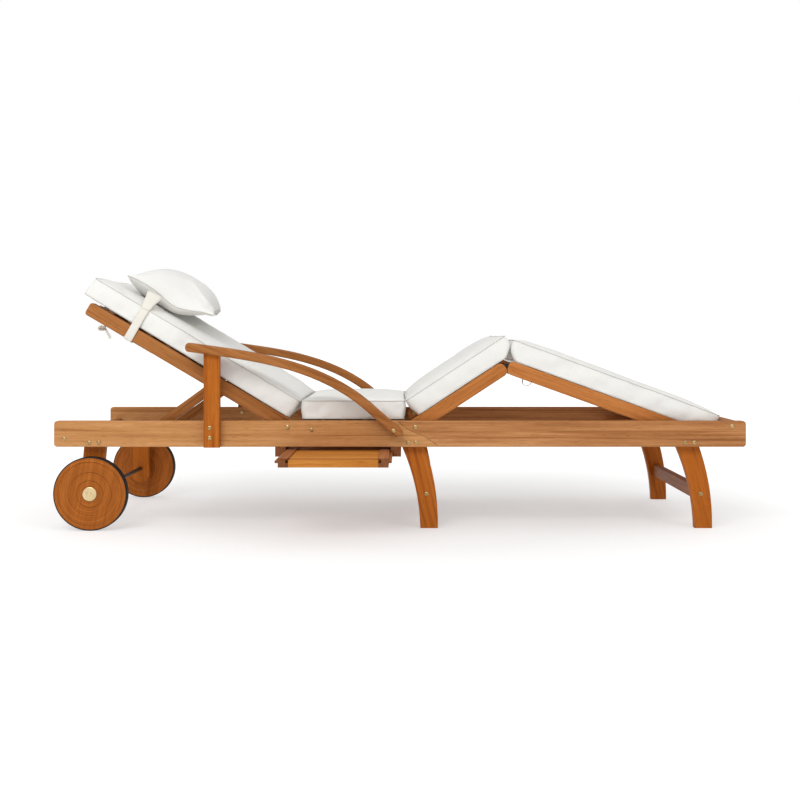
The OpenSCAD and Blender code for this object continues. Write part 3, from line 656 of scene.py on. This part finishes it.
# The piping's material is darker than the cover: painted shade along the seams.
SEAM = canvas("seam_canvas", SEAM_SHADE_TONE, 0.0008, 0.15)
WEBBING = canvas("tape_canvas", TAPE, 0.0016, 0.15)

NODE_MATERIALS = {
    "rail_head": ["side_rail_head_left", "side_rail_head_right"],
    "rail_foot": ["side_rail_foot_left", "side_rail_foot_right"],
    "bar": ["head_cross_bar", "foot_cross_rail", "seat_bearers", "backrest_head_rail",
            "prop_foot_bar", "foot_end_bar"],
    "stretcher": ["mid_stretcher", "foot_stretcher"],
    "post": ["arm_post_left", "arm_post_right", "wheel_leg_left", "wheel_leg_right"],
    "leg": ["mid_leg_left", "mid_leg_right", "foot_leg_left", "foot_leg_right"],
    "arm": ["arm_left", "arm_right"],
    "rack": ["prop_racks", "foot_racks"],
    "back_stile": ["backrest_stile_left", "backrest_stile_right"],
    "thigh_stile": ["thigh_stile_left", "thigh_stile_right"],
    "foot_stile": ["foot_stile_left", "foot_stile_right"],
    "prop": ["prop_strut_left", "prop_strut_right"],
    "wheel": ["wheel_left", "wheel_right"],
    "seat_slat": ["seat_slats"],
    "back_slat": ["backrest_slats"],
    "thigh_slat": ["thigh_slats"],
    "foot_slat": ["foot_slats"],
    "tray_rail": ["tray_side_rails", "tray_runners"],
    "tray_slat": ["tray_slats"],
}


def paint(obj, material):
    obj.data.materials.clear()
    obj.data.materials.append(material)


for kind, names in NODE_MATERIALS.items():
    for name in names:
        paint(frame["nodes"][name], WOODS[kind])
paint(frame["nodes"]["axle_caps"], BRASS)
for name in ("leg_bolts", "frame_bolts", "pivot_bolts"):
    paint(frame["nodes"][name], BOLT)
for name in ("axle", "wheel_spacers", "prop_pins", "thigh_hinge_leaves", "foot_hinge_leaves"):
    paint(frame["nodes"][name], STEEL)
for name in ("tyre_left", "tyre_right"):
    paint(frame["nodes"][name], RUBBER)

# ---------- cushions ----------

# Their lower and upper seams, as ((start, w), (end, w)) along and above each section.

seat, seat_rings = cushion(
    "seat_cushion_cover", SEAT,
    ((-0.2875, 0.0185), (0.0125, 0.0185)),
    ((-0.2890, 0.0735), (0.0150, 0.0735)), 1, crown=0.002,
)
back, back_rings = cushion(
    "backrest_cushion_cover", BACK,
    ((0.0110, 0.0225), (0.7130, 0.0310)),
    ((0.0080, 0.0780), (0.7090, 0.0860)), 2,
)
thigh, thigh_rings = cushion(
    "thigh_cushion_cover", THIGH,
    ((0.0240, BOTTOM_W), (0.3360, BOTTOM_W)),
    ((0.0140, SEAM_W), (0.3640, SEAM_W)), 3, bulge=0.013,
)
foot, foot_rings = cushion(
    "foot_cushion_cover", FOOT,
    ((0.0150, BOTTOM_W), (0.6370, BOTTOM_W)),
    ((-0.0060, 0.0800), (0.6370, SEAM_W)), 4, bulge=-0.009,
)


def make_pillow():
    """The head pillow: two panels sewn all round, with its corners drawn out.

    x runs toward the head and y to the far side, both from -1 to 1.
    """
    nx, ny = 30, 46
    index, points, faces = {}, [], []
    for side in (1, -1):
        for i in range(nx + 1):
            for j in range(ny + 1):
                edge = i in (0, nx) or j in (0, ny)
                if side < 0 and edge:
                    index[side, i, j] = index[1, i, j]
                    continue
                x, y = 2 * i / nx - 1, 1 - 2 * j / ny
                lean = x - 0.16 * (1 - x * x)
                thick = ((1 - abs(lean) ** 2.3) * (1 - abs(y) ** 3.6)) ** 0.58 if not edge else 0
                px = x * (1 - 0.10 * (1 - y * y) ** 0.7)
                py = y * (1 - 0.05 * (1 - x * x))
                sag = 0.030 * math.exp(-(((x + 0.25) / 0.5) ** 2)) * abs(y) ** 3
                level = PILLOW_LEVEL - 0.0143 * x
                level -= sag * (1 - x * x) ** 0.5
                tucked = max(y, 0) ** 4 * max(-x, 0) ** 3
                w = level - 0.035 * tucked + (PILLOW_TOP if side > 0 else -PILLOW_UNDER) * thick
                u = PILLOW_MIDDLE + px * PILLOW_HALF + math.tan(PILLOW_TURN) * (y + 1) * pillow_half
                u += 0.030 * tucked
                spot = Vector((u, y * pillow_half, w))
                w += 0.0025 * waver(spot, 0.07, 9) * (1 - x**4)
                u += 0.0020 * waver(spot, 0.05, 11)
                index[side, i, j] = len(points)
                points.append(BACK @ Vector((u, -py * pillow_half * BACK_SIDE, w)))
    for side in (1, -1):
        for i in range(nx):
            for j in range(ny):
                faces.append([index[side, i + di, j + dj]
                              for di, dj in ((0, 0), (1, 0), (1, 1), (0, 1))])
    obj = new_mesh("head_pillow_cover", points, faces)
    ring = [index[1, i, 0] for i in range(nx)] + [index[1, nx, j] for j in range(ny)]
    ring += [index[1, i, ny] for i in range(nx, 0, -1)] + [index[1, 0, j] for j in range(ny, 0, -1)]
    hold(obj, ring)
    return obj, [ring]


pillow, pillow_rings = make_pillow()

covers = [(c, COVER_CAP, COVER_SLACK) for c in (seat, back, thigh, foot)]
covers.append((pillow, PILLOW_CAP, PILLOW_SLACK))
fill(covers)

for obj, place in ((seat, SEAT), (back, BACK), (thigh, THIGH), (foot, FOOT)):
    rest_on(obj, place, SLAT_CLEARANCE)
rest_on(pillow, BACK, PILLOW_REST, PILLOW_SOFT)

for obj, rings in (
    (seat, seat_rings), (back, back_rings), (thigh, thigh_rings), (foot, foot_rings),
    (pillow, pillow_rings),
):
    subdivide(obj)
    paint(obj, COVER)
    add_piping(obj, rings)

# ---------- strap and ties ----------

strap_u = sum((BACK.inverted() @ v).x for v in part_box("pillow_strap")) / 2


def strap_ring():
    """The pillow strap, round the cushion and the stiles."""
    side = cushion_half + 0.0030
    top = SEAM_W + CROWN + 0.002
    low = -0.0222  # just under the stiles
    line, normals = [], []

    def go(y, w, ny, nw):
        line.append(BACK @ Vector((strap_u, y, w)))
        normals.append(BACK.to_3x3() @ Vector((0, ny, nw)))

    for y in np.linspace(-0.27, 0.27, 19):
        go(y, top + 0.001 * math.cos(9 * y), 0, 1)
    go(0.288, top - 0.003, 0.5, 0.87)
    go(side - 0.001, top - 0.010, 0.92, 0.4)
    for w in np.linspace(top - 0.022, low + 0.005, 9):
        go(side + 0.0012 * math.sin(40 * w), w, 1, 0)
    go(side - 0.003, low, 0.6, -0.8)
    for y in np.linspace(0.28, -0.28, 21):
        go(y, low - 0.0006, 0, -1)
    go(-side + 0.003, low, -0.6, -0.8)
    for w in np.linspace(low + 0.005, top - 0.022, 9):
        go(-side - 0.0012 * math.sin(40 * w), w, -1, 0)
    go(-side + 0.001, top - 0.010, -0.92, 0.4)
    go(-0.288, top - 0.003, -0.5, 0.87)
    go(-0.271, top + 0.0004, 0, 1)
    return line, normals


line, normals = strap_ring()
strap = ribbon("pillow_strap_tape", line, normals, STRAP_W, STRAP_T)
paint(strap, WEBBING)


def strap_flap(name, side, top_u):
    """The wide end of the strap that is sewn into the pillow's seam; side is 1 on the near side."""
    path = [(strap_u, 0.2945, 0.0800), (strap_u + 0.002, 0.2880, 0.0965),
            (top_u - 0.002, 0.2680, 0.1150), (top_u, 0.2500, 0.1330)]
    path = smooth_line([(u, y * side, w) for u, y, w in path], 9)
    out = BACK.to_3x3() @ Vector((0, 0.78 * side, 0.62))
    spread = STRAP_W + FLAP_SPREAD * np.linspace(0, 1, 9) ** 1.3
    piece = ribbon(name, [BACK @ Vector(p) for p in path], [out] * 9, spread, STRAP_T)
    paint(piece, WEBBING)
    return piece


for name, side, top_u in (("flap_near", 1, 0.5390), ("flap_far", -1, 0.5640)):
    join(strap, strap_flap(name, side * BACK_SIDE, top_u))


def tape_loop(u0, u1, w0, w1, y):
    """A tape laid round a bar, as a closed line and its normals."""
    corners = [(u0, w0), (u1, w0), (u1, w1), (u0, w1), (u0, w0)]
    out = [(-1, -1), (1, -1), (1, 1), (-1, 1), (-1, -1)]
    line, normals = [], []
    for (a, b), (na, nb) in zip(zip(corners, corners[1:]), zip(out, out[1:])):
        for f in (0.04, 0.35, 0.65, 0.96):
            line.append((a[0] + (b[0] - a[0]) * f, y, a[1] + (b[1] - a[1]) * f))
            face = [(na[k] + nb[k]) / 2 for k in (0, 1)]
            corner = nb if f > 0.9 else na
            tilt = 0.5 if f in (0.04, 0.96) else 0.0
            normals.append((face[0] + tilt * corner[0], 0, face[1] + tilt * corner[1]))
    return line, normals


def ties(name, place, lines, other_lines):
    """Tie tapes as one piece; returns it and their whole length.

    lines are on the section's own +Y side, which is the near side on the backrest and the far
    side on the foot section. other_lines are on its -Y side.
    """
    pieces, length = [], 0.0
    for side, shown in ((1, lines), (-1, other_lines)):
        for number, (line, normals) in enumerate(shown):
            path = [place @ Vector((u, y * side, w)) for u, y, w in line]
            out = [place.to_3x3() @ Vector((u, y * side, w)) for u, y, w in normals]
            pieces.append(ribbon(f"{name}_{side + 1}_{number}", path, out, TIE_W, TIE_T))
            length += sum((b - a).length for a, b in zip(path, path[1:]))
    for piece in pieces:
        paint(piece, WEBBING)
    for piece in pieces[1:]:
        join(pieces[0], piece)
    pieces[0].name = pieces[0].data.name = name
    return pieces[0], length


head_tail = smooth_line(
    [(0.6400, TIE_Y, 0.004), (0.6350, TIE_Y, -0.010), (0.6240, TIE_Y, -0.0190),
     (0.6150, TIE_Y + 0.003, -0.0290), (0.6040, TIE_Y + 0.006, -0.0365),
     (0.5850, TIE_Y + 0.010, -0.0460)], 17,
)
head_turn = [(-1 + f, 0.9 * f, -1) for f in np.linspace(0, 1, 17)]
head_bow = smooth_line(
    [(0.6160, TIE_Y + 0.003, -0.0290), (0.6270, TIE_Y + 0.008, -0.0320),
     (0.6285, TIE_Y + 0.011, -0.0400), (0.6200, TIE_Y + 0.008, -0.0390),
     (0.6100, TIE_Y + 0.006, -0.0320)], 13,
)
bow_turn = [(-math.cos(a), 0.5, -math.sin(a)) for a in np.linspace(1.4, -2.6, 13)]
head_band = tape_loop(0.6413, 0.6627, -0.0187, 0.0187, TIE_Y)
head_tie = [head_band, (head_tail, head_turn), (head_bow, bow_turn)]
head_ties, head_length = ties("backrest_tie_tapes", BACK, head_tie, head_tie)
foot_drop = smooth_line(
    [(0.1500, TIE_Y, 0.0060), (0.1490, TIE_Y, -0.0200), (0.1420, TIE_Y + 0.002, -0.0340),
     (0.1310, TIE_Y + 0.003, -0.0375), (0.1210, TIE_Y + 0.002, -0.0300),
     (0.1210, TIE_Y, -0.0150), (0.1360, TIE_Y, 0.0060)], 25,
)
foot_turn = [(math.cos(a), 0, math.sin(a)) for a in np.linspace(0, -math.pi, 25)]
foot_band = tape_loop(0.1343, 0.1877, 0.0073, 0.0207, TIE_Y)
foot_tie = [foot_band, (foot_drop, foot_turn)]
foot_ties, foot_length = ties("foot_tie_tapes", FOOT, foot_tie, [foot_band])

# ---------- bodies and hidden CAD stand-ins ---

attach(seat, "frame")
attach(pillow, "backrest")
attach(strap, "backrest")
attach(head_ties, "backrest")
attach(foot_ties, "foot_section")
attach(thigh, "thigh_section")
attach(foot, "foot_section")
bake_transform(back)
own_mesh(thigh)

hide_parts("seat_cushion")
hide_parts("backrest_cushion")
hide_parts("thigh_cushion")
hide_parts("foot_cushion")
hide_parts("head_pillow")
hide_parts("pillow_strap")
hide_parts("backrest_ties")
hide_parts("foot_ties")

# ---------- floor, light and camera ----------


def studio_floor():
    """A matt white floor that fades into a bright backdrop far from the object."""
    n = Nodes("studio_floor")
    place = n.add("ShaderNodeTexCoord").outputs["Object"]
    cloud = n.noise(place, 0.7, 2.0)
    white = [(0.2, (0.51, 0.51, 0.51)), (0.8, (0.49, 0.49, 0.49))]
    n.put(n.shader.inputs["Base Color"], n.ramp(cloud, white))
    n.shader.inputs["Roughness"].default_value = 0.7
    n.shader.inputs["Specular IOR Level"].default_value = 0.2
    n.shader.inputs["Emission Color"].default_value = (1, 1, 1, 1)
    far = n.add("ShaderNodeVectorMath", {0: place}, operation="LENGTH").outputs["Value"]
    fade = n.add("ShaderNodeMapRange", {"Value": far, "From Min": 0.6, "From Max": 2.6})
    glow = n.math("MULTIPLY_ADD", fade.outputs["Result"], 0.36, 0.44)
    n.put(n.shader.inputs["Emission Strength"], glow)
    return n.material


def area_light(name, place, aim, size, power):
    data = bpy.data.lights.new(name, "AREA")
    data.shape = "RECTANGLE"
    data.size, data.size_y = size
    data.energy = power
    obj = bpy.data.objects.new(name, data)
    bpy.context.scene.collection.objects.link(obj)
    obj.location = place
    obj.rotation_euler = (Vector(aim) - Vector(place)).to_track_quat("-Z", "Y").to_euler()


corners = [(x * FLOOR_HALF, y * FLOOR_HALF, 0) for x, y in ((-1, -1), (1, -1), (1, 1), (-1, 1))]
floor = new_mesh("floor", corners, [[0, 1, 2, 3]])
paint(floor, studio_floor())

world = bpy.data.worlds.new("studio")
bpy.context.scene.world = world
world.use_nodes = True
tree = world.node_tree
sky = tree.nodes["Background"]
sky.inputs["Color"].default_value = (1.0, 1.0, 1.0, 1)
height = tree.nodes.new("ShaderNodeSeparateXYZ")
tree.links.new(tree.nodes.new("ShaderNodeTexCoord").outputs["Generated"], height.inputs[0])
dome = tree.nodes.new("ShaderNodeMapRange")
tree.links.new(height.outputs["Z"], dome.inputs["Value"])
for name, value in (("From Min", 0.0), ("From Max", 0.9), ("To Min", 0.12), ("To Max", 1.0)):
    dome.inputs[name].default_value = value
seen = tree.nodes.new("ShaderNodeMix")
camera_ray = tree.nodes.new("ShaderNodeLightPath").outputs["Is Camera Ray"]
tree.links.new(camera_ray, seen.inputs["Factor"])
tree.links.new(dome.outputs["Result"], seen.inputs["A"])
seen.inputs["B"].default_value = 1.0
tree.links.new(seen.outputs["Result"], sky.inputs["Strength"])

area_light("key", (-1.4, -3.3, 3.1), aim=(-0.1, 0, 0.3), size=(2.4, 1.6), power=74)
area_light("side", (2.6, -3.0, 2.6), aim=(0.2, 0, 0.3), size=(2.0, 1.6), power=24)

camera = bpy.data.objects.new("camera", bpy.data.cameras.new("camera"))
bpy.context.scene.collection.objects.link(camera)
camera.location = CAMERA_PLACE
camera.rotation_euler = (math.radians(90), 0, 0)
camera.data.sensor_width = 36
camera.data.lens = CAMERA_LENS
camera.data.shift_x, camera.data.shift_y = CAMERA_SHIFT
bpy.context.scene.camera = camera
bpy.context.scene.view_settings.view_transform = "Standard"

bpy.context.view_layer.update()
